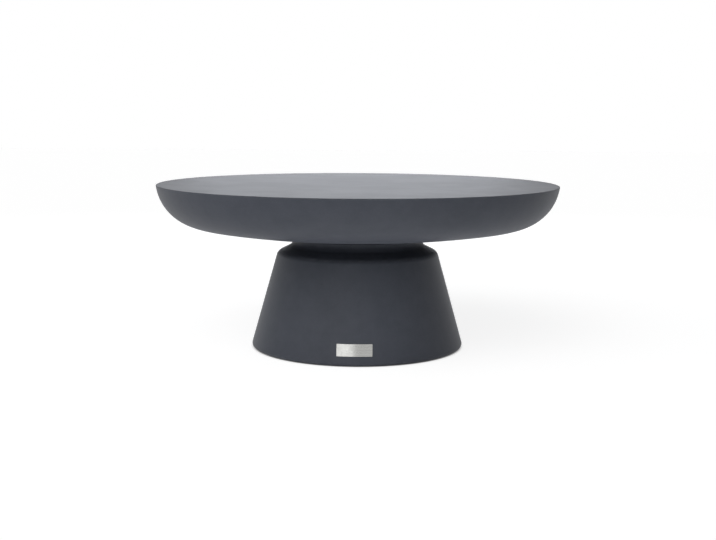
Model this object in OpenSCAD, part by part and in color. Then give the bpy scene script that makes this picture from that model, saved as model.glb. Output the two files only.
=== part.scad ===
// Round concrete coffee table: a bowl-shaped top bolted down onto a hollow coned pedestal.
// Millimetres. +Z is up, the origin is on the floor under the table's centre, and the front is -Y.

/* [Overall] */
// Diameter of the tabletop over its rim
top_d = 1000; // [860:5:1200]
// Height from the floor to the table surface
table_h = 410; // [340:1:500]

/* [Tabletop] */
// Height of the tabletop from its seat to the table surface
top_t = 132; // [120:1:160]
// Rounding of the rim's upper edge
rim_edge_r = 2; // [0.5:0.5:4]
// Length of the straight band below the rim
rim_band = 9; // [5:0.5:14]
// Lean of that band from upright, in degrees
rim_lean = 11.5; // [9:0.5:16]
// Radius of the side curve below the band
side_r = 116; // [85:1:125]
// Radius inside which the belly is flat
belly_flat_r = 80; // [50:1:130]
// Thickness of the cast skin at the sides and belly
skin_t = 14; // [10:0.5:18]
// Thickness of the cast skin under the table surface
face_t = 16; // [12:0.5:20]
// How far the flat land that rests on the neck stands below the belly
land_h = 1; // [0.5:0.5:3]
// Diameter of the solid hub round the threaded inserts
hub_d = 250; // [240:2:300]
// Concrete over the threaded inserts inside the hub
hub_cover = 12; // [8:1:20]

/* [Pedestal] */
// Diameter at the foot
foot_d = 538; // [480:2:640]
// Diameter at the shoulder
shoulder_d = 403; // [380:1:450]
// Slope of the chamfer above the shoulder, in degrees
chamfer_slope = 26; // [15:1:35]
// Diameter of the upright neck
neck_d = 324; // [300:2:360]
// Height of the neck above the chamfer
neck_h = 16.5; // [12:0.5:30]
// Thickness of the cast wall at the shoulder
wall_t = 20; // [16:1:26]
// Width of the foot, to which the wall thickens on its way down
foot_w = 45; // [42:1:60]
// Thickness of the deck that the bolts clamp
deck_t = 50; // [46:1:58]
// Rounding of the foot's outer edge
foot_edge_r = 7; // [3:0.5:10]
// Rounding of the shoulder
shoulder_edge_r = 20; // [2:1:24]
// Radius of the cove where the chamfer runs into the neck, at most what the neck's height leaves
neck_cove_r = 21; // [4:1:24]
// Rounding of the neck's upper edge
neck_edge_r = 3; // [1:0.5:4]
// Rounding of the corner between the wall and the deck, inside
ceiling_edge_r = 10; // [4:1:14]

/* [Bolted joint] */
// Number of bolts
bolt_count = 4; // [3:1:6]
// Diameter of the bolt circle
bolt_circle_d = 180; // [160:2:200]
// Diameter of the bolts
bolt_d = 10; // [8:1:12]
// Length of the bolts under the head
bolt_len = 80; // [76:1:100]
// Width across the flats of the bolt head
bolt_head_w = 16; // [15:0.5:19]
// Height of the bolt head
bolt_head_h = 6.4; // [5:0.1:8]
// How much wider than the bolt the deck's holes are, so that the top can be centred
deck_hole_play = 6; // [3:0.5:8]
// How much wider than the bolt the steel plate's holes are
plate_hole_play = 1; // [0.5:0.1:2]
// Width of the ring-shaped spreader plate
spreader_w = 60; // [44:2:70]
// Thickness of the spreader plate
spreader_t = 5; // [3:0.5:8]
// Width of a flat washer's ring
washer_w = 4.5; // [3:0.5:7]
// Thickness of a flat washer
washer_t = 2; // [1.5:0.5:3]
// Width of a spring washer's ring
spring_w = 3.6; // [2.6:0.2:4.4]
// Thickness of a spring washer
spring_t = 2.2; // [1.8:0.2:3]
// Wall of a threaded insert
insert_wall = 3; // [2:0.5:4]
// Free depth of an insert beyond the bolt's end
insert_run = 6; // [3:1:10]
// Thickness of an insert's closed end, which is also its anchor flange
insert_end_t = 4; // [3:0.5:6]
// How far the anchor flange stands out all round
insert_flange_w = 4; // [2:0.5:6]
// Play of a bolt in its insert, on the radius
thread_play = 0.05; // [0.02:0.01:0.1]
// Thickness of the rubber gasket between the pedestal and the top
gasket_t = 2; // [1:0.5:4]
// Width of the gasket's ring
gasket_w = 90; // [84:1:110]
// How far the gasket stays inside the neck's edge
gasket_inset = 3; // [2:0.5:8]

/* [Floor pads] */
// Number of pads
pad_count = 6; // [3:1:8]
// Diameter of a pad
pad_d = 30; // [20:1:32]
// Thickness of a pad
pad_t = 4; // [4:0.5:6]
// Depth of the pocket that a pad is glued into
pad_pocket = 3; // [1:0.5:3]
// Play round a pad in its pocket
pad_play = 0.5; // [0.2:0.1:1]

/* [Front plate] */
// Width of the plate
plate_w = 84; // [60:1:110]
// Height of the plate along the pedestal's slope
plate_h = 29; // [20:1:40]
// Thickness of the plate
plate_t = 1; // [0.6:0.1:1.5]
// Rounding of the plate's corners
plate_corner_r = 1; // [0.5:0.5:4]
// Height of the plate's centre above the floor
plate_z = 38.5; // [32:0.5:80]
// Thickness of the adhesive pad behind the plate
adhesive_t = 0.8; // [0.4:0.1:1.2]
// How far the adhesive pad stays inside the plate's edge
adhesive_inset = 3; // [1:0.5:6]

/* [Hidden] */
$fn = 120;
// Largest gap between a curve and the chords that stand for it
chord_gap = 0.05;
// How far a cutting shape runs past the face that it opens
overrun = 1;

concrete = "#4a4e55";
rubber = "#1d1e20";
zinc = "#b9bcc0";
stainless = "#c9cbcd";
foam = "#f2f3f1";

// Heights, from the tabletop down to the floor
face_z = table_h - face_t;
seat_z = table_h - top_t;
belly_z = seat_z + land_h;
neck_top_z = seat_z - gasket_t;
neck_base_z = neck_top_z - neck_h;
shoulder_z = neck_base_z - (shoulder_d - neck_d) / 2 * tan(chamfer_slope);
deck_z = neck_top_z - deck_t;
plate_base_z = deck_z - spreader_t;
bolt_seat_z = plate_base_z - washer_t - spring_t;
foot_z = pad_t - pad_pocket;

// What the bolts clamp, and what is left of them for the inserts
bolt_grip = deck_z - bolt_seat_z + deck_t + gasket_t;
bolt_reach = bolt_len - bolt_grip;
insert_depth = bolt_reach + insert_run;
insert_len = insert_depth + insert_end_t;
insert_d = bolt_d + 2 * insert_wall;
hub_top_z = seat_z + insert_len + hub_cover;

// The tabletop's profile: a rounded rim, a leaning band, a side arc and a shallow belly arc
rim_centre = [top_d / 2 - rim_edge_r, table_h - rim_edge_r];
band_out = [cos(rim_lean), -sin(rim_lean)];
band_down = [-sin(rim_lean), -cos(rim_lean)];
band_end = rim_centre + rim_edge_r * band_out + rim_band * band_down;
side_centre = band_end - side_r * band_out;
// The belly arc is flat at belly_flat_r and touches the side arc from outside it
belly_reach = side_centre.x - belly_flat_r;
belly_rise = side_centre.y - belly_z;
belly_r = (belly_reach ^ 2 + belly_rise ^ 2 - side_r ^ 2) / (2 * (belly_rise - side_r));
belly_centre = [belly_flat_r, belly_z + belly_r];
belly_turn = asin(belly_reach / (belly_r - side_r)) - 90;

// The cove ends where the rounding of the neck's upper edge starts, or below it
cove_r = min(neck_cove_r, (neck_h - neck_edge_r) * tan(45 + chamfer_slope / 2));

// The pedestal's side, and the cone of its hollow
cone_lean = atan((foot_d - shoulder_d) / 2 / (shoulder_z - foot_z));
hollow_foot_r = foot_d / 2 - foot_w;
hollow_top_r = cone_r(deck_z) - wall_t / cos(cone_lean);

spreader_d = bolt_circle_d + spreader_w;
spreader_bore_d = bolt_circle_d - spreader_w;
gasket_d = neck_d - 2 * gasket_inset;
foot_flat_r = foot_d / 2 - foot_edge_r / tan(45 - cone_lean / 2);
pad_circle_r = (hollow_foot_r + foot_flat_r) / 2;

// Radius at height z of the pedestal's side, or of a face that stands off it
function cone_r(z, off = 0) = foot_d / 2 - (z - foot_z) * tan(cone_lean) + off / cos(cone_lean);

// Points along an arc, close enough together to stay within chord_gap
function arc(centre, r, from, to) =
    let (steps = max(2, ceil(abs(to - from) / (2 * acos(1 - chord_gap / r)))))
    [for (i = [0 : steps]) let (a = from + (to - from) * i / steps) centre + r * [cos(a), sin(a)]];

function unit(v) = v / norm(v);

// The arc that rounds corner p between its neighbours a and b
function corner(a, p, b, r) =
    let (
        to_a = unit(a - p),
        to_b = unit(b - p),
        half = acos(to_a * to_b) / 2,
        centre = p + unit(to_a + to_b) * r / sin(half),
        start = p + to_a * r / tan(half) - centre,
        end = p + to_b * r / tan(half) - centre,
        from = atan2(start.y, start.x),
        turn = atan2(start.x * end.y - start.y * end.x, start * end)
    )
    arc(centre, r, from, from + turn);

// An outline from corners [x, y, rounding], where a rounding of 0 stays sharp
function rounded(corners) =
    let (count = len(corners), points = [for (c = corners) [c.x, c.y]])
    [
        for (i = [0 : count - 1])
            each corners[i].z == 0
                ? [points[i]]
                : corner(points[(i + count - 1) % count], points[i], points[(i + 1) % count], corners[i].z)
    ];

// The tabletop's side and belly, or the faces that lie deeper under them, down from angle start
function dish_side(start, deeper = 0) = [
    each arc(side_centre, side_r - deeper, start, belly_turn),
    each arc(belly_centre, belly_r - deeper, belly_turn, -90),
    [0, belly_z + deeper],
];

// Copies of a child on the bolt circle
module on_bolts() {
    for (i = [0 : bolt_count - 1])
        rotate([0, 0, (i + 0.5) * 360 / bolt_count])
            translate([bolt_circle_d / 2, 0, 0])
                children();
}

// A flat ring that stands on height z
module ring(outer_d, inner_d, thickness, z) {
    translate([0, 0, z])
        difference() {
            cylinder(d = outer_d, h = thickness);
            translate([0, 0, -overrun])
                cylinder(d = inner_d, h = thickness + 2 * overrun);
        }
}

// Upright holes on the bolt circle, through everything from the spreader plate to the gasket
module bolt_holes(d) {
    on_bolts()
        translate([0, 0, bolt_seat_z])
            cylinder(d = d, h = seat_z - bolt_seat_z + overrun);
}

// The space inside the tabletop's skin, round the hub
module top_cavity() {
    inner_r = side_r - skin_t;
    // The face cuts the inner side arc below the band
    start = min(-rim_lean, asin((face_z - side_centre.y) / inner_r));
    difference() {
        rotate_extrude()
            polygon([[0, face_z], each dish_side(start, skin_t)]);
        translate([0, 0, belly_z])
            cylinder(d = hub_d, h = hub_top_z - belly_z);
    }
}

// The outside of a threaded insert, with its anchor flange at the closed end
module insert_body(below_seat = 0) {
    translate([0, 0, seat_z - below_seat])
        cylinder(d = insert_d, h = insert_len + below_seat);
    translate([0, 0, seat_z + insert_depth])
        cylinder(d = insert_d + 2 * insert_flange_w, h = insert_end_t);
}

// Cast skin over the foam core, with a solid hub and a flat land under it
module tabletop() {
    outline = [
        [0, table_h],
        each arc(rim_centre, rim_edge_r, 90, 0),
        each arc(rim_centre, rim_edge_r, 0, -rim_lean),
        each dish_side(-rim_lean),
    ];
    color(concrete)
        difference() {
            union() {
                rotate_extrude()
                    polygon(outline);
                translate([0, 0, seat_z])
                    cylinder(d = neck_d, h = land_h + skin_t / 2);
            }
            top_cavity();
            on_bolts()
                insert_body(overrun);
        }
}

// Light block that the skin is cast round
module foam_core() {
    color(foam)
        top_cavity();
}

// Threaded sockets cast into the hub
module threaded_inserts() {
    color(zinc)
        on_bolts()
            difference() {
                insert_body();
                translate([0, 0, seat_z - overrun])
                    cylinder(d = bolt_d + 2 * thread_play, h = insert_depth + overrun);
            }
}

// Rubber ring that keeps the two castings apart
module seat_gasket() {
    color(rubber)
        difference() {
            ring(gasket_d, gasket_d - 2 * gasket_w, gasket_t, neck_top_z);
            bolt_holes(bolt_d + deck_hole_play);
        }
}

// Outside of the pedestal: foot, coned side, rounded shoulder, chamfer, cove and neck
module pedestal_outside() {
    rotate_extrude()
        polygon(rounded([
            [0, foot_z, 0],
            [foot_d / 2, foot_z, foot_edge_r],
            [shoulder_d / 2, shoulder_z, shoulder_edge_r],
            [neck_d / 2, neck_base_z, cove_r],
            [neck_d / 2, neck_top_z, neck_edge_r],
            [0, neck_top_z, 0],
        ]));
}

// Hollow of the pedestal, open at the foot
module pedestal_hollow() {
    // The cone runs on past the foot at the same slope
    widening = overrun * (hollow_foot_r - hollow_top_r) / (deck_z - foot_z);
    rotate_extrude()
        polygon(rounded([
            [0, foot_z - overrun, 0],
            [hollow_foot_r + widening, foot_z - overrun, 0],
            [hollow_top_r, deck_z, ceiling_edge_r],
            [0, deck_z, 0],
        ]));
}

// One hollow casting with bolt holes through its deck and pad pockets in its foot
module pedestal() {
    color(concrete)
        difference() {
            pedestal_outside();
            pedestal_hollow();
            bolt_holes(bolt_d + deck_hole_play);
            on_foot()
                translate([0, 0, foot_z - overrun])
                    cylinder(d = pad_d + 2 * pad_play, h = pad_pocket + overrun);
        }
}

// Steel ring that spreads the bolts' load over the underside of the deck
module spreader_plate() {
    color(zinc)
        difference() {
            ring(spreader_d, spreader_bore_d, spreader_t, plate_base_z);
            bolt_holes(bolt_d + plate_hole_play);
        }
}

module flat_washers() {
    bore_d = bolt_d + plate_hole_play;
    color(zinc)
        on_bolts()
            ring(bore_d + 2 * washer_w, bore_d, washer_t, plate_base_z - washer_t);
}

// Split rings, each cut through by a slanting slot
module spring_washers() {
    bore_d = bolt_d + 4 * thread_play;
    slot_w = spring_t * 0.7;
    slot_slant = 30;
    color(zinc)
        on_bolts()
            difference() {
                ring(bore_d + 2 * spring_w, bore_d, spring_t, bolt_seat_z);
                translate([bore_d / 2 + spring_w / 2, 0, bolt_seat_z + spring_t / 2])
                    rotate([slot_slant, 0, 0])
                        cube([2 * spring_w, slot_w, 4 * spring_t], center = true);
            }
}

// Hexagon bolts, driven upward from inside the pedestal
module hex_bolts() {
    tip = bolt_d * 0.1;
    head_corner_d = bolt_head_w / cos(30);
    head_face_d = bolt_head_w * 0.95;
    color(zinc)
        on_bolts()
            translate([0, 0, bolt_seat_z]) {
                cylinder(d = bolt_d, h = bolt_len - tip);
                translate([0, 0, bolt_len - tip])
                    cylinder(d1 = bolt_d, d2 = bolt_d - 2 * tip, h = tip);
                intersection() {
                    translate([0, 0, -bolt_head_h])
                        cylinder(d = head_corner_d, h = bolt_head_h, $fn = 6);
                    // The head's lower corners are turned off at 30 degrees
                    translate([0, 0, -bolt_head_h])
                        cylinder(
                            d1 = head_face_d,
                            d2 = head_face_d + 2 * bolt_head_h / tan(30),
                            h = bolt_head_h
                        );
                }
            }
}

// Copies of a child round the foot ring
module on_foot() {
    for (i = [0 : pad_count - 1])
        rotate([0, 0, i * 360 / pad_count])
            translate([pad_circle_r, 0, 0])
                children();
}

// Rubber discs that the table stands on
module floor_pads() {
    color(rubber)
        on_foot()
            cylinder(d = pad_d, h = pad_t);
}

// A patch of a shell that lies on the pedestal's side at the front, between two distances from it
module front_patch(w, slope_h, corner_r, near, far) {
    half_h = slope_h / 2 * cos(cone_lean);
    low_z = plate_z - half_h - overrun;
    high_z = plate_z + half_h + overrun;
    intersection() {
        rotate_extrude()
            polygon([
                [cone_r(low_z, near), low_z],
                [cone_r(low_z, far), low_z],
                [cone_r(high_z, far), high_z],
                [cone_r(high_z, near), high_z],
            ]);
        translate([0, 0, plate_z])
            rotate([90, 0, 0])
                linear_extrude(height = foot_d)
                    polygon(rounded([
                        [-w / 2, -half_h, corner_r],
                        [w / 2, -half_h, corner_r],
                        [w / 2, half_h, corner_r],
                        [-w / 2, half_h, corner_r],
                    ]));
    }
}

// Bare brushed plate, curved to the pedestal's side
module front_plate() {
    color(stainless)
        front_patch(plate_w, plate_h, plate_corner_r, adhesive_t, adhesive_t + plate_t);
}

// Pad that holds the plate
module plate_adhesive() {
    inset = 2 * adhesive_inset;
    color(rubber)
        front_patch(plate_w - inset, plate_h - inset, plate_corner_r, 0, adhesive_t);
}

tabletop();
foam_core();
threaded_inserts();
seat_gasket();
pedestal();
spreader_plate();
flat_washers();
spring_washers();
hex_bolts();
floor_pads();
front_plate();
plate_adhesive();
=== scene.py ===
import math

import bmesh
import bpy
from mathutils import Matrix, Vector


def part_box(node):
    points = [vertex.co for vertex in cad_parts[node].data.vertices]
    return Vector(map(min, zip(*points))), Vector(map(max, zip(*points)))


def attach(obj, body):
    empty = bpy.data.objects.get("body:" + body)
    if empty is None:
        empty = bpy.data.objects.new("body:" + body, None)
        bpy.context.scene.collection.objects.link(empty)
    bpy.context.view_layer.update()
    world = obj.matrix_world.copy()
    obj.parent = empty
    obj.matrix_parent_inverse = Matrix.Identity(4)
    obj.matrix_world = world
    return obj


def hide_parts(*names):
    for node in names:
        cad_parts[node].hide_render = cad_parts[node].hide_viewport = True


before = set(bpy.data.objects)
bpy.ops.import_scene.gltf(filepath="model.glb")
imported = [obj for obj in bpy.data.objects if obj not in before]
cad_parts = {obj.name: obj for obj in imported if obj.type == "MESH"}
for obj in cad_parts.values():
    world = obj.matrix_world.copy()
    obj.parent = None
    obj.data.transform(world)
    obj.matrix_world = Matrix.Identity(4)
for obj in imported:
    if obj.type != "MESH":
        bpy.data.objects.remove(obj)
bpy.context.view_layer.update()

scene = bpy.context.scene
scene.view_settings.view_transform = "Standard"

# Camera

# Width of the photograph in pixels, and of a full-frame sensor in millimetres
IMAGE_W = 716
SENSOR_W = 36.0
# How far the camera sees
VIEW_END = 50.0
# Fitted to the outline of the table in the photograph
CAMERA_DISTANCE = 2.7760
CAMERA_HEIGHT = 0.5846
CAMERA_PITCH = 0.14092
CAMERA_ROLL = 0.0055
CAMERA_TURN = math.radians(1.3)
FOCAL_PX = 1103.77
CENTRE_X_PX = 357.4


def add_camera():
    """Camera at the photograph's viewing angle, turned so that the plate sits left of the middle."""
    data = bpy.data.cameras.new("camera")
    data.sensor_fit = "HORIZONTAL"
    data.sensor_width = SENSOR_W
    data.lens = FOCAL_PX / IMAGE_W * data.sensor_width
    data.shift_x = -(CENTRE_X_PX - IMAGE_W / 2) / IMAGE_W
    data.clip_end = VIEW_END
    camera = bpy.data.objects.new("camera", data)
    scene.collection.objects.link(camera)
    turn = Matrix.Rotation(CAMERA_TURN, 4, "Z")
    place = Matrix.Translation((0, -CAMERA_DISTANCE, CAMERA_HEIGHT))
    tilt = Matrix.Rotation(math.pi / 2 - CAMERA_PITCH, 4, "X")
    roll = Matrix.Rotation(CAMERA_ROLL, 4, "Z")
    camera.matrix_world = turn @ place @ tilt @ roll
    scene.camera = camera


# Sizes in metres: from the frame, and beyond it the same driving sizes that the CAD model has

TOP_LOW, TOP_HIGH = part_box("tabletop")
TOP_R = TOP_HIGH.x
TABLE_H = TOP_HIGH.z
SEAT_Z = TOP_LOW.z
RIM_EDGE_R = 0.002
RIM_BAND = 0.009
RIM_LEAN = 11.5
SIDE_R = 0.116
BELLY_FLAT_R = 0.080
SKIN_T = 0.014
FACE_T = 0.016
LAND_H = 0.001
HUB_R = 0.125
HUB_COVER = 0.012

FOOT_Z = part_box("pedestal")[0].z
NECK_TOP_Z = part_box("pedestal")[1].z
FOOT_R = 0.269
SHOULDER_R = 0.2015
CHAMFER_SLOPE = math.radians(26)
NECK_R = 0.162
NECK_H = 0.0165
WALL_T = 0.020
FOOT_W = 0.045
FOOT_EDGE_R = 0.007
SHOULDER_EDGE_R = 0.020
NECK_COVE_R = 0.021
NECK_EDGE_R = 0.003
CEILING_EDGE_R = 0.010
NECK_BASE_Z = NECK_TOP_Z - NECK_H
SHOULDER_Z = NECK_BASE_Z - (SHOULDER_R - NECK_R) * math.tan(CHAMFER_SLOPE)

PLATE_LOW, PLATE_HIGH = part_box("spreader_plate")
DECK_Z = PLATE_HIGH.z
SPREADER_R = PLATE_HIGH.x
SPREADER_BORE_R = 0.060
BOLT_COUNT = 4
BOLT_CIRCLE_R = 0.090
BOLT_R = 0.005
BOLT_PITCH = 0.0015
BOLT_THREAD_LEN = 0.026
BOLT_HEAD_W = 0.016
HEAD_FACE_R = 0.475 * BOLT_HEAD_W
HALF_HEX_ANGLE = math.pi / 6
THREAD_DEPTH = 0.61 * BOLT_PITCH
# Half of the groove's width, as a share of the pitch
THREAD_FLANK = 0.42
TIP_CHAMFER = 0.2 * BOLT_R
BOLT_LOW_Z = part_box("hex_bolts")[0].z
BOLT_SEAT_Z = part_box("spring_washers")[0].z
BOLT_TIP_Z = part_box("hex_bolts")[1].z
THREAD_Z = BOLT_TIP_Z - BOLT_THREAD_LEN
WASHER_LOW, WASHER_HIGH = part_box("flat_washers")
WASHER_R = 0.010
PLATE_HOLE_R = 0.0055
DECK_HOLE_R = 0.008
GASKET_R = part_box("seat_gasket")[1].x
GASKET_W = 0.090
INSERT_R = 0.008
INSERT_FLANGE_R = 0.012
INSERT_END_T = 0.004
INSERT_TOP_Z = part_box("threaded_inserts")[1].z

PAD_COUNT = 6
PAD_R = 0.015
PAD_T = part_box("floor_pads")[1].z
PAD_CIRCLE_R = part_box("floor_pads")[1].x - PAD_R
PAD_POCKET = 0.003
PAD_PLAY = 0.0005

# Edge roundings of the small pieces
SPREADER_EDGE_R = 0.0006
GASKET_EDGE_R = 0.0003
WASHER_EDGE_R = 0.0004
PAD_EDGE_R = 0.0008

# How far a cutting shape runs past the face that it opens
OVERRUN = 0.001
# Distance of the extra rings that keep the shading tight beside a rounding
SUPPORT_GAP = 0.0005
# Only stretches longer than this get them
LONG_STRETCH = 6 * SUPPORT_GAP
# A point nearer to the axis than this is on it
ON_AXIS = 1e-7
# Faces that meet at more than this angle keep a sharp edge
SHARP_ANGLE = math.radians(32)

# Steps along an arc
ROUNDING_STEPS = 10
RIM_STEPS = 9
SIDE_STEPS = 40
BELLY_STEPS = 16
THREAD_ROWS_PER_PITCH = 6

# Sides of a full turn
CASTING_SIDES = 256
CAVITY_SIDES = 128
SPREADER_SIDES = 160
GASKET_SIDES = 192
SMALL_SIDES = 64
HOLE_SIDES = 48
SHANK_SIDES = 24
HEX_SIDES = 6


# Outlines, as lists of (radius, height)


def arc(centre, radius, start, end, steps):
    """Points along an arc, with its angles in degrees."""
    angles = [math.radians(start + (end - start) * i / steps) for i in range(steps + 1)]
    return [(centre[0] + radius * math.cos(a), centre[1] + radius * math.sin(a)) for a in angles]


def corner(before, point, after, radius):
    """The arc that rounds a corner between its two neighbours."""
    p = Vector(point)
    to_a = (Vector(before) - p).normalized()
    to_b = (Vector(after) - p).normalized()
    half = to_a.angle(to_b) / 2
    centre = p + (to_a + to_b).normalized() * radius / math.sin(half)
    start = p + to_a * radius / math.tan(half) - centre
    end = p + to_b * radius / math.tan(half) - centre
    turn = math.degrees(math.atan2(start.x * end.y - start.y * end.x, start.dot(end)))
    first = math.degrees(math.atan2(start.y, start.x))
    return arc(centre, radius, first, first + turn, ROUNDING_STEPS)


def rounded(corners):
    """An outline from corners (radius, height, rounding), where a rounding of 0 stays sharp."""
    points = [(c[0], c[1]) for c in corners]
    outline = []
    for i, (x, y, r) in enumerate(corners):
        after = points[(i + 1) % len(points)]
        outline += corner(points[i - 1], (x, y), after, r) if r else [(x, y)]
    return outline


def supported(outline, closed=False):
    """The outline with an extra point near both ends of each long stretch."""
    result = []
    last = len(outline) if closed else len(outline) - 1
    for i in range(last):
        a, b = Vector(outline[i]), Vector(outline[(i + 1) % len(outline)])
        result.append(tuple(a))
        length = (b - a).length
        if length > LONG_STRETCH:
            step = (b - a) * SUPPORT_GAP / length
            result += [tuple(a + step), tuple(b - step)]
    if not closed:
        result.append(outline[-1])
    return result


# The tabletop's side arc ends on its band, and the belly arc touches it from outside
BAND_OUT = Vector((math.cos(math.radians(RIM_LEAN)), -math.sin(math.radians(RIM_LEAN))))
BAND_DOWN = Vector((BAND_OUT.y, -BAND_OUT.x))
RIM_CENTRE = Vector((TOP_R - RIM_EDGE_R, TABLE_H - RIM_EDGE_R))
SIDE_CENTRE = RIM_CENTRE + BAND_DOWN * RIM_BAND - BAND_OUT * (SIDE_R - RIM_EDGE_R)
BELLY_Z = SEAT_Z + LAND_H
BELLY_REACH = SIDE_CENTRE.x - BELLY_FLAT_R
BELLY_RISE = SIDE_CENTRE.y - BELLY_Z
BELLY_R = (BELLY_REACH**2 + BELLY_RISE**2 - SIDE_R**2) / (2 * (BELLY_RISE - SIDE_R))
BELLY_CENTRE = Vector((BELLY_FLAT_R, BELLY_Z + BELLY_R))
BELLY_TURN = math.degrees(math.asin(BELLY_REACH / (BELLY_R - SIDE_R))) - 90


def dish_side(start, deeper=0.0):
    """The tabletop's side and belly, or the faces that lie deeper under them."""
    side = arc(SIDE_CENTRE, SIDE_R - deeper, start, BELLY_TURN, SIDE_STEPS)
    belly = arc(BELLY_CENTRE, BELLY_R - deeper, BELLY_TURN, -90, BELLY_STEPS)
    return side + belly[1:]


def tabletop_outline():
    rim = arc(RIM_CENTRE, RIM_EDGE_R, 90, -RIM_LEAN, RIM_STEPS)
    dish = [p for p in dish_side(-RIM_LEAN) if p[0] > NECK_R]
    land_top = BELLY_CENTRE.y - math.sqrt(BELLY_R**2 - (NECK_R - BELLY_FLAT_R) ** 2)
    land = [(NECK_R, land_top), (NECK_R, SEAT_Z), (0.0, SEAT_Z)]
    return [(0.0, TABLE_H)] + rim + dish + land


def cavity_outline():
    """The space inside the tabletop's skin, round its hub."""
    inner_r = SIDE_R - SKIN_T
    face_z = TABLE_H - FACE_T
    start = min(-RIM_LEAN, math.degrees(math.asin((face_z - SIDE_CENTRE.y) / inner_r)))
    dish = [p for p in dish_side(start, SKIN_T) if p[0] > HUB_R]
    floor_r = BELLY_R - SKIN_T
    hub_base_z = BELLY_CENTRE.y - math.sqrt(floor_r**2 - (HUB_R - BELLY_FLAT_R) ** 2)
    hub_top_z = INSERT_TOP_Z + HUB_COVER
    return [(0.0, face_z)] + dish + [(HUB_R, hub_base_z), (HUB_R, hub_top_z), (0.0, hub_top_z)]


CONE_SLOPE = (FOOT_R - SHOULDER_R) / (SHOULDER_Z - FOOT_Z)
HOLLOW_FOOT_R = FOOT_R - FOOT_W
HOLLOW_TOP_R = FOOT_R - (DECK_Z - FOOT_Z) * CONE_SLOPE - WALL_T * math.hypot(1, CONE_SLOPE)
HOLLOW_SLOPE = (HOLLOW_FOOT_R - HOLLOW_TOP_R) / (DECK_Z - FOOT_Z)


def pedestal_outline():
    return rounded(
        [
            (0.0, FOOT_Z, 0),
            (FOOT_R, FOOT_Z, FOOT_EDGE_R),
            (SHOULDER_R, SHOULDER_Z, SHOULDER_EDGE_R),
            (NECK_R, NECK_BASE_Z, NECK_COVE_R),
            (NECK_R, NECK_TOP_Z, NECK_EDGE_R),
            (0.0, NECK_TOP_Z, 0),
        ]
    )


def hollow_outline():
    return rounded(
        [
            (0.0, FOOT_Z - OVERRUN, 0),
            (HOLLOW_FOOT_R + OVERRUN * HOLLOW_SLOPE, FOOT_Z - OVERRUN, 0),
            (HOLLOW_TOP_R, DECK_Z, CEILING_EDGE_R),
            (0.0, DECK_Z, 0),
        ]
    )


def ring_outline(outer_r, inner_r, low_z, high_z, edge_r):
    return rounded(
        [
            (inner_r, low_z, edge_r),
            (outer_r, low_z, edge_r),
            (outer_r, high_z, edge_r),
            (inner_r, high_z, edge_r),
        ]
    )


def disc_outline(radius, low_z, high_z, edge_r=0):
    return rounded(
        [(0.0, low_z, 0), (radius, low_z, edge_r), (radius, high_z, edge_r), (0.0, high_z, 0)]
    )


# Meshes


def bridge(bm, low, high):
    """Faces between two rings, one of which can be a single point."""
    sides = max(len(low), len(high))
    for i in range(sides):
        j = (i + 1) % sides
        if len(low) == 1:
            bm.faces.new((low[0], high[j], high[i]))
        elif len(high) == 1:
            bm.faces.new((low[i], low[j], high[0]))
        else:
            bm.faces.new((low[i], low[j], high[j], high[i]))


def spin(bm, outline, sides, centre=(0.0, 0.0), closed=False):
    """Turns an outline round an upright axis. A closed outline stays clear of the axis."""
    turns = [2 * math.pi * i / sides for i in range(sides)]
    rings = []
    for r, z in outline:
        if r < ON_AXIS:
            rings.append([bm.verts.new((centre[0], centre[1], z))])
            continue
        rings.append(
            [bm.verts.new((centre[0] + r * math.cos(t), centre[1] + r * math.sin(t), z)) for t in turns]
        )
    pairs = list(zip(rings, rings[1:]))
    if closed:
        pairs.append((rings[-1], rings[0]))
    for low, high in pairs:
        bridge(bm, low, high)


def make_piece(name, bm):
    """A new object of a filled bmesh, with all faces turned outward."""
    bmesh.ops.recalc_face_normals(bm, faces=bm.faces)
    mesh = bpy.data.meshes.new(name)
    bm.to_mesh(mesh)
    bm.free()
    piece = bpy.data.objects.new(name, mesh)
    scene.collection.objects.link(piece)
    return piece


def lathe(name, outline, sides=CASTING_SIDES, centres=((0.0, 0.0),), closed=False):
    """One object with a turned solid at each centre."""
    bm = bmesh.new()
    for centre in centres:
        spin(bm, supported(outline, closed), sides, centre, closed)
    return make_piece(name, bm)


def carve(piece, cutter, operation="DIFFERENCE"):
    """Cuts a piece with a cutter, which is then deleted."""
    modifier = piece.modifiers.new("cut", "BOOLEAN")
    modifier.operation = operation
    modifier.solver = "EXACT"
    modifier.object = cutter
    graph = bpy.context.evaluated_depsgraph_get()
    cut = bpy.data.meshes.new_from_object(piece.evaluated_get(graph))
    piece.modifiers.clear()
    old = piece.data
    piece.data = cut
    cut.name = piece.name
    bpy.data.meshes.remove(old)
    bpy.data.objects.remove(cutter)


def finish_piece(piece, node, material):
    """Shades a piece, and lets it stand for a CAD node."""
    piece.data.shade_smooth()
    piece.data.set_sharp_from_angle(angle=SHARP_ANGLE)
    piece.data.materials.clear()
    piece.data.materials.append(material)
    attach(piece, "root")
    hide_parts(node)


def around(count, radius, first=0.0):
    """Centres at even angles round the table's axis."""
    turns = [2 * math.pi * (i + first) / count for i in range(count)]
    return [(radius * math.cos(t), radius * math.sin(t)) for t in turns]


BOLT_CENTRES = around(BOLT_COUNT, BOLT_CIRCLE_R, 0.5)
PAD_CENTRES = around(PAD_COUNT, PAD_CIRCLE_R)


def hole_cutter(radius, low_z, high_z, centres):
    return lathe("cutter", disc_outline(radius, low_z, high_z), HOLE_SIDES, centres)


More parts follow.
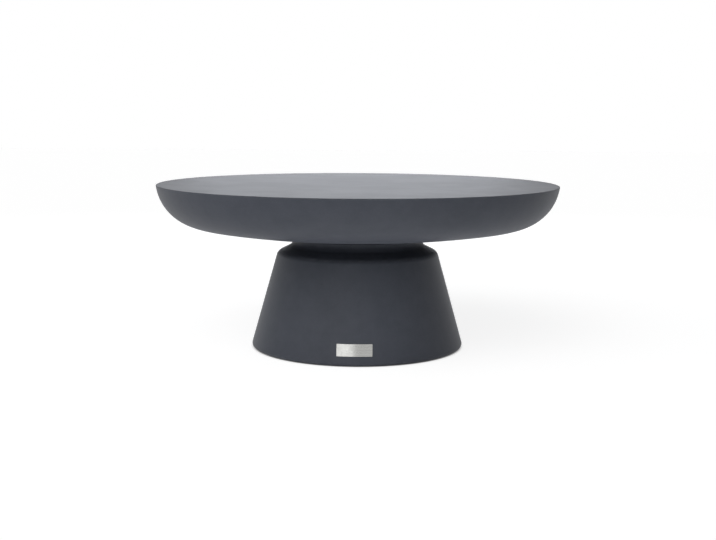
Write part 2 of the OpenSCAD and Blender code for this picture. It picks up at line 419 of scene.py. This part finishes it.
def make_tabletop():
    piece = lathe("concrete_tabletop", tabletop_outline())
    carve(piece, lathe("cutter", cavity_outline(), CAVITY_SIDES))
    depth_z = INSERT_TOP_Z - INSERT_END_T
    socket = [
        (0.0, SEAT_Z - OVERRUN),
        (INSERT_R, SEAT_Z - OVERRUN),
        (INSERT_R, depth_z),
        (INSERT_FLANGE_R, depth_z),
        (INSERT_FLANGE_R, INSERT_TOP_Z),
        (0.0, INSERT_TOP_Z),
    ]
    carve(piece, lathe("cutter", socket, HOLE_SIDES, BOLT_CENTRES))
    return piece


def make_pedestal():
    piece = lathe("concrete_pedestal", pedestal_outline())
    carve(piece, lathe("cutter", hollow_outline()))
    carve(piece, hole_cutter(DECK_HOLE_R, DECK_Z - OVERRUN, NECK_TOP_Z + OVERRUN, BOLT_CENTRES))
    pocket_top_z = FOOT_Z + PAD_POCKET
    carve(piece, hole_cutter(PAD_R + PAD_PLAY, FOOT_Z - OVERRUN, pocket_top_z, PAD_CENTRES))
    return piece


def make_spreader_plate():
    outline = ring_outline(SPREADER_R, SPREADER_BORE_R, PLATE_LOW.z, PLATE_HIGH.z, SPREADER_EDGE_R)
    piece = lathe("steel_spreader_plate", outline, SPREADER_SIDES, closed=True)
    carve(piece, hole_cutter(PLATE_HOLE_R, PLATE_LOW.z - OVERRUN, PLATE_HIGH.z + OVERRUN, BOLT_CENTRES))
    return piece


def make_gasket():
    low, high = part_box("seat_gasket")
    outline = ring_outline(GASKET_R, GASKET_R - GASKET_W, low.z, high.z, GASKET_EDGE_R)
    piece = lathe("rubber_gasket", outline, GASKET_SIDES, closed=True)
    carve(piece, hole_cutter(DECK_HOLE_R, low.z - OVERRUN, high.z + OVERRUN, BOLT_CENTRES))
    return piece


def make_flat_washers():
    outline = ring_outline(WASHER_R, PLATE_HOLE_R, WASHER_LOW.z, WASHER_HIGH.z, WASHER_EDGE_R)
    return lathe("flat_washer_set", outline, SMALL_SIDES, BOLT_CENTRES, closed=True)


def thread_radius(turn, z):
    """Radius of a bolt's shank at an angle in turns and a height, with its helical thread."""
    fade = min(max((z - THREAD_Z) / BOLT_PITCH, 0.0), 1.0)
    phase = ((z - THREAD_Z) / BOLT_PITCH - turn) % 1.0
    groove = max(0.0, 1.0 - abs(phase - 0.5) / THREAD_FLANK)
    # The tip is turned off at 45 degrees
    tip = max(0.0, z - (BOLT_TIP_Z - TIP_CHAMFER))
    return BOLT_R - max(THREAD_DEPTH * fade * groove, tip)


def make_shanks():
    count = round(BOLT_THREAD_LEN / BOLT_PITCH * THREAD_ROWS_PER_PITCH)
    heights = [BOLT_SEAT_Z - OVERRUN, THREAD_Z]
    heights += [THREAD_Z + BOLT_THREAD_LEN * (i + 1) / count for i in range(count)]
    bm = bmesh.new()
    for x, y in BOLT_CENTRES:
        rings = []
        for z in heights:
            ring = []
            for i in range(SHANK_SIDES):
                angle = 2 * math.pi * i / SHANK_SIDES
                r = thread_radius(i / SHANK_SIDES, z)
                ring.append(bm.verts.new((x + r * math.cos(angle), y + r * math.sin(angle), z)))
            rings.append(ring)
        for low, high in zip(rings, rings[1:]):
            bridge(bm, low, high)
        bm.faces.new(rings[0])
        bm.faces.new(rings[-1])
    return make_piece("shanks", bm)


def make_bolts():
    head_h = BOLT_SEAT_Z - BOLT_LOW_Z
    corner_r = BOLT_HEAD_W / 2 / math.cos(HALF_HEX_ANGLE)
    head = disc_outline(corner_r, BOLT_LOW_Z, BOLT_SEAT_Z)
    piece = lathe("hex_bolt_set", head, HEX_SIDES, BOLT_CENTRES)
    # The head's lower corners are turned off at 30 degrees
    wide_r = HEAD_FACE_R + head_h / math.tan(math.radians(30))
    cone = [
        (0.0, BOLT_LOW_Z),
        (HEAD_FACE_R, BOLT_LOW_Z),
        (wide_r, BOLT_SEAT_Z + OVERRUN),
        (0.0, BOLT_SEAT_Z + OVERRUN),
    ]
    carve(piece, lathe("cutter", cone, SMALL_SIDES, BOLT_CENTRES), "INTERSECT")
    carve(piece, make_shanks(), "UNION")
    return piece


def make_pads():
    outline = disc_outline(PAD_R, 0.0, PAD_T, PAD_EDGE_R)
    return lathe("rubber_pad_set", outline, SMALL_SIDES, PAD_CENTRES)


# Materials


class Tree:
    """Short calls for the nodes of one material or world."""

    def __init__(self, owner):
        owner.use_nodes = True
        self.nodes = owner.node_tree.nodes
        self.links = owner.node_tree.links

    def put(self, socket, value):
        if isinstance(value, bpy.types.NodeSocket):
            self.links.new(value, socket)
        else:
            socket.default_value = value

    def node(self, kind, inputs=(), **settings):
        made = self.nodes.new("ShaderNode" + kind)
        for name, value in settings.items():
            setattr(made, name, value)
        for name, value in dict(inputs).items():
            self.put(made.inputs[name], value)
        return made

    def math(self, operation, *values, clamp=False):
        made = self.node("Math", operation=operation, use_clamp=clamp)
        for socket, value in zip(made.inputs, values):
            self.put(socket, value)
        return made.outputs[0]

    def length(self, x, y):
        return self.math("SQRT", self.math("MULTIPLY_ADD", x, x, self.math("MULTIPLY", y, y)))

    def span(self, value, low, high, to_low=0.0, to_high=1.0):
        """Maps a value from low..high to to_low..to_high, and holds it there."""
        made = self.node("MapRange", interpolation_type="SMOOTHSTEP")
        for name, v in zip(("From Min", "From Max", "To Min", "To Max"), (low, high, to_low, to_high)):
            self.put(made.inputs[name], v)
        self.put(made.inputs["Value"], value)
        return made.outputs[0]

    def noise(self, place, scale, detail=2.0, roughness=0.5, distortion=0.0):
        inputs = {"Vector": place, "Scale": scale, "Detail": detail}
        inputs |= {"Roughness": roughness, "Distortion": distortion}
        return self.node("TexNoise", inputs).outputs["Fac"]

    def blend(self, factor, a, b, kind="MIX"):
        """Mixes two colours."""
        made = self.node("Mix", data_type="RGBA", blend_type=kind)
        self.put(made.inputs[0], factor)
        self.put(made.inputs[6], a)
        self.put(made.inputs[7], b)
        return made.outputs[2]

    def stretched(self, place, scales):
        return self.node("Mapping", {"Vector": place, "Scale": scales}).outputs[0]

    def bump(self, height, distance, below=None):
        inputs = {"Height": height, "Distance": distance, "Strength": 1.0}
        if below:
            inputs["Normal"] = below
        return self.node("Bump", inputs).outputs["Normal"]


def grey(value):
    return (value, value, value, 1.0)


def new_surface(name, **settings):
    """A material with its tree, its shader and the object's own coordinates."""
    material = bpy.data.materials.new(name)
    tree = Tree(material)
    shader = tree.nodes["Principled BSDF"]
    for key, value in settings.items():
        shader.inputs[key.replace("_", " ")].default_value = value
    place = tree.node("TexCoord").outputs["Object"]
    return material, tree, shader, place


# The range that nearly all values of a noise lie in
NOISE_RANGE = (0.3, 0.7)

# Anthracite through-dyed concrete under a satin sealer
CONCRETE_DARK = (0.050, 0.0555, 0.070, 1.0)
CONCRETE_LIGHT = (0.062, 0.0675, 0.0835, 1.0)
CONCRETE_PALE = (0.105, 0.110, 0.122, 1.0)
CONCRETE_RAW = (0.115, 0.118, 0.122, 1.0)
CONCRETE_RAW_DARK = (0.071, 0.073, 0.076, 1.0)
# How far the raw finish reaches into the wall, and above the hollow's ceiling
RAW_DEPTH = 0.003
RAW_RISE = 0.0005
# Heights below a ground face between which its polish sets in
POLISH_START = 0.0006
POLISH_FULL = 0.0001

STEEL_DARK = (0.355, 0.356, 0.345, 1.0)
STEEL_LIGHT = (0.465, 0.465, 0.45, 1.0)
ZINC_BLUE = (0.50, 0.53, 0.58, 1.0)
ZINC_STRAW = (0.60, 0.58, 0.50, 1.0)
ZINC_STAIN = (0.36, 0.36, 0.37, 1.0)
RUBBER_BLACK = (0.012, 0.012, 0.013, 1.0)
RUBBER_DUST = (0.09, 0.088, 0.082, 1.0)
FOAM_WHITE = (0.86, 0.87, 0.85, 1.0)
TAPE_LIGHT = (0.030, 0.030, 0.031, 1.0)
TAPE_DARK = (0.014, 0.014, 0.015, 1.0)


def pinholes(tree, place, scale, share, radius):
    """Mask of small round air holes. A share of the cells has one, of up to this radius."""
    cells = tree.node("TexVoronoi", {"Vector": place, "Scale": scale, "Randomness": 1.0})
    picked = tree.node("SeparateColor", {"Color": cells.outputs["Color"]})
    size = tree.math("MULTIPLY", picked.outputs[1], radius * scale)
    reach = tree.math("SUBTRACT", size, cells.outputs["Distance"])
    hole = tree.span(reach, 0.0, 0.25 * radius * scale)
    return tree.math("MULTIPLY", hole, tree.math("LESS_THAN", picked.outputs[0], share))


def concrete(name, edges=(), polished_z=None, raw=None):
    """Cast concrete.

    edges holds (radius, height, width) of each ring that wears, polished_z is the height of a face
    that was ground smooth, and raw is (radius, height, slope, top) of a cone left as it was cast.
    """
    material, tree, shader, place = new_surface(name, IOR=1.3)
    xyz = tree.node("SeparateXYZ", {"Vector": place})
    x, y, z = xyz.outputs
    radius = tree.length(x, y)

    # Clouds from the pour, and the fine grain of the sand
    clouds = tree.noise(place, scale=4.5, detail=5.0, roughness=0.55, distortion=0.4)
    mottle = tree.noise(place, scale=32.0, detail=4.0, roughness=0.6)
    grain = tree.noise(place, scale=950.0, detail=2.0, roughness=0.6)
    tone = tree.math("ADD", tree.math("MULTIPLY", clouds, 0.6), tree.math("MULTIPLY", mottle, 0.4))
    colour = tree.blend(tree.span(tone, *NOISE_RANGE), CONCRETE_DARK, CONCRETE_LIGHT)
    lit_grain = tree.blend(1.0, colour, grey(1.35), "MULTIPLY")
    colour = tree.blend(tree.span(grain, *NOISE_RANGE, 0.0, 0.35), colour, lit_grain)
    hole_dent_and_painted_shade = pinholes(tree, place, scale=75.0, share=0.16, radius=0.0011)
    specks = pinholes(tree, place, scale=420.0, share=0.22, radius=0.0007)
    colour = tree.blend(tree.math("MULTIPLY", specks, 0.45), colour, CONCRETE_PALE)
    # The air holes are dents in the bump only; their near-black colour is painted shade in the hollows
    colour = tree.blend(tree.math("MULTIPLY", hole_dent_and_painted_shade, 0.75), colour, grey(0.012))

    roughness = tree.span(clouds, 0.25, 0.75, 0.48, 0.53)
    if polished_z is not None:
        streaks = tree.noise(place, scale=7.0, detail=4.0, roughness=0.5, distortion=1.2)
        ground = tree.span(z, polished_z - POLISH_START, polished_z - POLISH_FULL)
        polish = tree.span(streaks, *NOISE_RANGE, 0.485, 0.51)
        cast = tree.math("MULTIPLY", tree.math("SUBTRACT", 1.0, ground), roughness)
        roughness = tree.math("MULTIPLY_ADD", ground, polish, cast)

    # Edges rub pale where hands and knocks reach them
    scuffs = tree.noise(place, scale=60.0, detail=5.0, roughness=0.7)
    for edge_r, edge_z, width in edges:
        dr = tree.math("SUBTRACT", radius, edge_r)
        dz = tree.math("SUBTRACT", z, edge_z)
        away = tree.length(dr, dz)
        near = tree.span(away, 0.35 * width, width, 1.0, 0.0)
        worn = tree.math("MULTIPLY", near, tree.span(scuffs, 0.42, 0.68, 0.05, 0.5))
        colour = tree.blend(worn, colour, CONCRETE_PALE)
        roughness = tree.math("MULTIPLY_ADD", worn, 0.15, roughness)

    lumps = tree.noise(place, scale=120.0, detail=3.0, roughness=0.5)
    normal = tree.bump(lumps, 0.00012)
    normal = tree.bump(grain, 0.00003, normal)
    normal = tree.bump(tree.math("SUBTRACT", 1.0, hole_dent_and_painted_shade), 0.0006, normal)

    if raw is not None:
        # Inside, the sprayed back of the casting was never faced or sealed
        foot_r, foot_z, slope, top_z = raw
        face_r = tree.math("MULTIPLY_ADD", tree.math("SUBTRACT", z, foot_z), -slope, foot_r)
        inside = tree.math("LESS_THAN", tree.math("SUBTRACT", radius, face_r), RAW_DEPTH)
        inside = tree.math("MULTIPLY", inside, tree.math("LESS_THAN", z, top_z + RAW_RISE))
        patches = tree.noise(place, scale=22.0, detail=5.0, roughness=0.65)
        back = tree.blend(tree.span(patches, *NOISE_RANGE), CONCRETE_RAW, CONCRETE_RAW_DARK)
        blow_hole_dent_and_painted_shade = pinholes(tree, place, scale=55.0, share=0.5, radius=0.0035)
        # The blow holes are dents in the bump only; their dark colour is painted shade in the hollows
        back = tree.blend(tree.math("MULTIPLY", blow_hole_dent_and_painted_shade, 0.7), back, grey(0.02))
        colour = tree.blend(inside, colour, back)
        roughness = tree.math("MAXIMUM", roughness, tree.math("MULTIPLY", inside, 0.88))
        spray = tree.math("MULTIPLY", inside, tree.noise(place, scale=75.0, detail=5.0, roughness=0.65))
        normal = tree.bump(spray, 0.0015, normal)
        solid = tree.math("MULTIPLY", tree.math("SUBTRACT", 1.0, blow_hole_dent_and_painted_shade), inside)
        normal = tree.bump(solid, 0.001, normal)

    tree.put(shader.inputs["Base Color"], colour)
    tree.put(shader.inputs["Roughness"], roughness)
    tree.put(shader.inputs["Normal"], normal)
    return material


def brushed_steel():
    """Bare stainless steel, brushed along its length, so that its sheen spreads up and down."""
    settings = {"Metallic": 1.0, "Anisotropic": 0.8, "Anisotropic_Rotation": 0.25}
    material, tree, shader, place = new_surface("brushed_stainless", **settings)
    face = tree.node("NewGeometry").outputs["Normal"]
    along = tree.node("VectorMath", {0: face, 1: (0.0, 0.0, 1.0)}, operation="CROSS_PRODUCT")
    tree.put(shader.inputs["Tangent"], along.outputs["Vector"])
    hair = tree.noise(tree.stretched(place, (14.0, 14.0, 3200.0)), scale=1.0, detail=3.0, roughness=0.7)
    bands = tree.noise(tree.stretched(place, (4.0, 4.0, 420.0)), scale=1.0, detail=2.0, roughness=0.5)
    haze = tree.noise(place, scale=45.0, detail=3.0, roughness=0.5)
    streak = tree.math("ADD", tree.math("MULTIPLY", hair, 0.65), tree.math("MULTIPLY", bands, 0.35))
    colour = tree.blend(tree.span(streak, *NOISE_RANGE), STEEL_DARK, STEEL_LIGHT)
    tree.put(shader.inputs["Base Color"], colour)
    rough = tree.span(streak, *NOISE_RANGE, 0.19, 0.28)
    rough = tree.math("ADD", rough, tree.span(haze, *NOISE_RANGE, -0.02, 0.04))
    tree.put(shader.inputs["Roughness"], rough)
    tree.put(shader.inputs["Normal"], tree.bump(hair, 0.00001))
    return material


def zinc_plating():
    """Bright zinc with the faint blue and straw tints of its passivation."""
    material, tree, shader, place = new_surface("zinc_plating", Metallic=1.0)
    film = tree.noise(place, scale=55.0, detail=3.0, roughness=0.6, distortion=0.6)
    stain = tree.noise(place, scale=260.0, detail=4.0, roughness=0.65)
    colour = tree.blend(tree.span(film, 0.35, 0.65), ZINC_BLUE, ZINC_STRAW)
    colour = tree.blend(tree.span(stain, 0.55, 0.8, 0.0, 0.5), colour, ZINC_STAIN)
    tree.put(shader.inputs["Base Color"], colour)
    tree.put(shader.inputs["Roughness"], tree.span(stain, 0.25, 0.75, 0.30, 0.50))
    spangle = tree.noise(place, scale=1400.0, detail=2.0)
    tree.put(shader.inputs["Normal"], tree.bump(spangle, 0.00001))
    return material


def rubber(name, dust):
    """Black moulded rubber with some dust on it."""
    material, tree, shader, place = new_surface(name)
    skin = tree.noise(place, scale=900.0, detail=3.0, roughness=0.6)
    settled = tree.noise(place, scale=38.0, detail=5.0, roughness=0.7)
    dusty = tree.span(settled, 0.4, 0.8, 0.0, dust)
    colour = tree.blend(dusty, RUBBER_BLACK, RUBBER_DUST)
    tree.put(shader.inputs["Base Color"], colour)
    tree.put(shader.inputs["Roughness"], tree.span(settled, *NOISE_RANGE, 0.62, 0.85))
    tree.put(shader.inputs["Normal"], tree.bump(skin, 0.00004))
    return material


def beaded_foam():
    """White expanded polystyrene with the outlines of its beads."""
    material, tree, shader, place = new_surface("beaded_foam", Roughness=0.9)
    beads = tree.node("TexVoronoi", {"Vector": place, "Scale": 260.0}, feature="DISTANCE_TO_EDGE")
    seam = tree.span(beads.outputs["Distance"], 0.0, 0.12)
    shade = tree.noise(place, scale=500.0, detail=2.0)
    colour = tree.blend(seam, grey(0.62), FOAM_WHITE)
    colour = tree.blend(tree.span(shade, 0.4, 0.8, 0.0, 0.15), colour, grey(0.7))
    tree.put(shader.inputs["Base Color"], colour)
    tree.put(shader.inputs["Normal"], tree.bump(seam, 0.0004))
    return material


def foam_tape():
    """Dark closed-cell tape."""
    material, tree, shader, place = new_surface("foam_tape", Roughness=0.85)
    cells = tree.node("TexVoronoi", {"Vector": place, "Scale": 3000.0})
    depth = cells.outputs["Distance"]
    colour = tree.blend(tree.span(depth, 0.1, 0.7), TAPE_LIGHT, TAPE_DARK)
    tree.put(shader.inputs["Base Color"], colour)
    tree.put(shader.inputs["Normal"], tree.bump(depth, 0.00008))
    return material


# Studio


def seen_rays(tree):
    """1 for rays that see, straight, mirrored or through something, and 0 for rays that light."""
    path = tree.node("LightPath").outputs
    seen = tree.math("ADD", path["Is Camera Ray"], path["Is Glossy Ray"])
    return tree.math("ADD", seen, path["Is Transmission Ray"], clamp=True)


FLOOR_HALF = 15.0
# What the floor shows of its own, and how much of the light on it, so that only its shadows are
# below white
FLOOR_GLOW = 0.86
FLOOR_SHOWN = 0.34
# How much of the light the floor throws back at the table
FLOOR_PAPER = 0.9
# Radii round the foot between which the floor's glow sets in; inside them the missing glow is a painted
# contact shadow
PAINTED_SHADOW_INNER_R = FOOT_R - 0.012
PAINTED_SHADOW_OUTER_R = FOOT_R + 0.002


def add_floor():
    """A white floor that keeps the table's soft shadow. From below it can be looked through."""
    bm = bmesh.new()
    corners = [(-1, -1), (1, -1), (1, 1), (-1, 1)]
    bm.faces.new([bm.verts.new((x * FLOOR_HALF, y * FLOOR_HALF, 0.0)) for x, y in corners])
    floor = make_piece("floor", bm)
    material = bpy.data.materials.new("floor")
    tree = Tree(material)
    tree.nodes.clear()
    paper = tree.node("BsdfDiffuse", {"Color": grey(FLOOR_PAPER)})
    shown = tree.node("BsdfDiffuse", {"Color": grey(FLOOR_SHOWN)})
    # Painted contact shadow: the floor's glow is left out in the narrow gap under the foot, so that it
    # shows dark
    x, y = tree.node("SeparateXYZ", {"Vector": tree.node("TexCoord").outputs["Object"]}).outputs[:2]
    glow_beyond_painted_shadow = tree.span(tree.length(x, y), PAINTED_SHADOW_INNER_R, PAINTED_SHADOW_OUTER_R, 0.0, FLOOR_GLOW)
    glow = tree.node("Emission", {"Color": grey(1.0), "Strength": glow_beyond_painted_shadow})
    both = tree.node("AddShader", {0: shown.outputs[0], 1: glow.outputs[0]})
    top = tree.node("MixShader", {0: seen_rays(tree), 1: paper.outputs[0], 2: both.outputs[0]})
    below = tree.node("NewGeometry").outputs["Backfacing"]
    clear = tree.node("BsdfTransparent")
    sides = tree.node("MixShader", {0: below, 1: top.outputs[0], 2: clear.outputs[0]})
    tree.node("OutputMaterial", {"Surface": sides.outputs[0]})
    floor.data.materials.append(material)


# Soft lights as (azimuth, elevation, strength), in degrees; 0 is behind the table and 90 at its right
SOFT_LIGHTS = (
    (180, 28, 0.47),
    (210, 28, 2.14),
    (240, 28, 1.06),
    (200, 50, 2.12),
)
SOFT_LIGHT_FOCUS = 16.0


def direction_of(azimuth, elevation):
    a, e = math.radians(azimuth), math.radians(elevation)
    return (math.sin(a) * math.cos(e), math.cos(a) * math.cos(e), math.sin(e))


def add_world():
    """Soft lights for what falls on the table, and plain white for what is seen."""
    world = bpy.data.worlds.new("studio")
    tree = Tree(world)
    tree.nodes.clear()
    direction = tree.node("TexCoord").outputs["Generated"]
    total = 0.0
    for azimuth, elevation, strength in SOFT_LIGHTS:
        axis = direction_of(azimuth, elevation)
        dot = tree.node("VectorMath", {0: direction, 1: axis}, operation="DOT_PRODUCT")
        power = tree.math("MULTIPLY_ADD", dot.outputs["Value"], SOFT_LIGHT_FOCUS, -SOFT_LIGHT_FOCUS)
        falloff = tree.math("EXPONENT", power)
        total = tree.math("MULTIPLY_ADD", falloff, strength, total)
    lights = tree.node("Background", {"Color": grey(1.0), "Strength": total})
    white = tree.node("Background", {"Color": grey(1.0), "Strength": 1.0})
    both = tree.node("MixShader", {0: seen_rays(tree), 1: lights.outputs[0], 2: white.outputs[0]})
    tree.node("OutputWorld", {"Surface": both.outputs[0]})
    world.cycles.sampling_method = "NONE"
    scene.world = world


WHITE = (1.0, 1.0, 1.0)
COOL_WHITE = (0.94, 0.985, 1.07)
# Soft panels as (azimuth, elevation, distance, width, height, glow, colour), aimed at the table
PANELS = {
    # Behind the table, for the sheen of its top
    "backlight_low": (-2, 11, 3.0, 1.6, 1.2, 1.17, COOL_WHITE),
    "backlight_high": (-2, 18, 3.5, 2.2, 1.8, 0.68, COOL_WHITE),
    # In front, for the bright patch on the steel plate
    "front_softbox": (192, 15, 3.0, 1.0, 0.6, 1.95, WHITE),
}
PANEL_AIM = Vector((0.0, 0.0, 0.25))
# The light that comes up from the sweep in front of the table: its place, its size and its glow
SWEEP_PLACE = (-0.05, -0.62, 0.003)
SWEEP_W, SWEEP_D = 1.5, 0.5
SWEEP_GLOW = 0.85


def add_panel(name, placed, width, height, glow, colour):
    data = bpy.data.lights.new(name, "AREA")
    data.shape = "RECTANGLE"
    data.size, data.size_y = width, height
    data.energy = math.pi * width * height * glow
    data.color = colour
    lamp = bpy.data.objects.new(name, data)
    lamp.matrix_world = placed
    lamp.visible_camera = False
    scene.collection.objects.link(lamp)
    return lamp


def add_panels():
    for name, (azimuth, elevation, distance, width, height, glow, colour) in PANELS.items():
        away = Vector(direction_of(azimuth, elevation))
        turned = away.to_track_quat("Z", "Y").to_matrix().to_4x4()
        placed = Matrix.Translation(PANEL_AIM + away * distance) @ turned
        add_panel(name, placed, width, height, glow, colour)
    flipped = Matrix.Translation(SWEEP_PLACE) @ Matrix.Rotation(math.pi, 4, "X")
    sweep = add_panel("sweep_light", flipped, SWEEP_W, SWEEP_D, SWEEP_GLOW, WHITE)
    sweep.visible_glossy = False


# The table

add_camera()

top_concrete = concrete(
    "concrete_top",
    edges=((TOP_R - 0.0006, TABLE_H - 0.0006, 0.0035),),
    polished_z=TABLE_H,
)
foot_concrete = concrete(
    "concrete_foot",
    edges=(
        (FOOT_R - 0.003, FOOT_Z + 0.002, 0.008),
        (SHOULDER_R, SHOULDER_Z, 0.005),
    ),
    raw=(HOLLOW_FOOT_R, FOOT_Z, HOLLOW_SLOPE, DECK_Z),
)
zinc = zinc_plating()
finish_piece(make_tabletop(), "tabletop", top_concrete)
finish_piece(make_pedestal(), "pedestal", foot_concrete)
finish_piece(make_gasket(), "seat_gasket", rubber("gasket_rubber", 0.15))
finish_piece(make_spreader_plate(), "spreader_plate", zinc)
finish_piece(make_flat_washers(), "flat_washers", zinc)
finish_piece(make_bolts(), "hex_bolts", zinc)
finish_piece(make_pads(), "floor_pads", rubber("pad_rubber", 0.5))

# The CAD nodes that stay get their finish here
kept = {
    "threaded_inserts": zinc,
    "spring_washers": zinc,
    "foam_core": beaded_foam(),
    "front_plate": brushed_steel(),
    "plate_adhesive": foam_tape(),
}
for node, material in kept.items():
    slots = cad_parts[node].data.materials
    slots.clear()
    slots.append(material)

add_floor()
add_world()
add_panels()
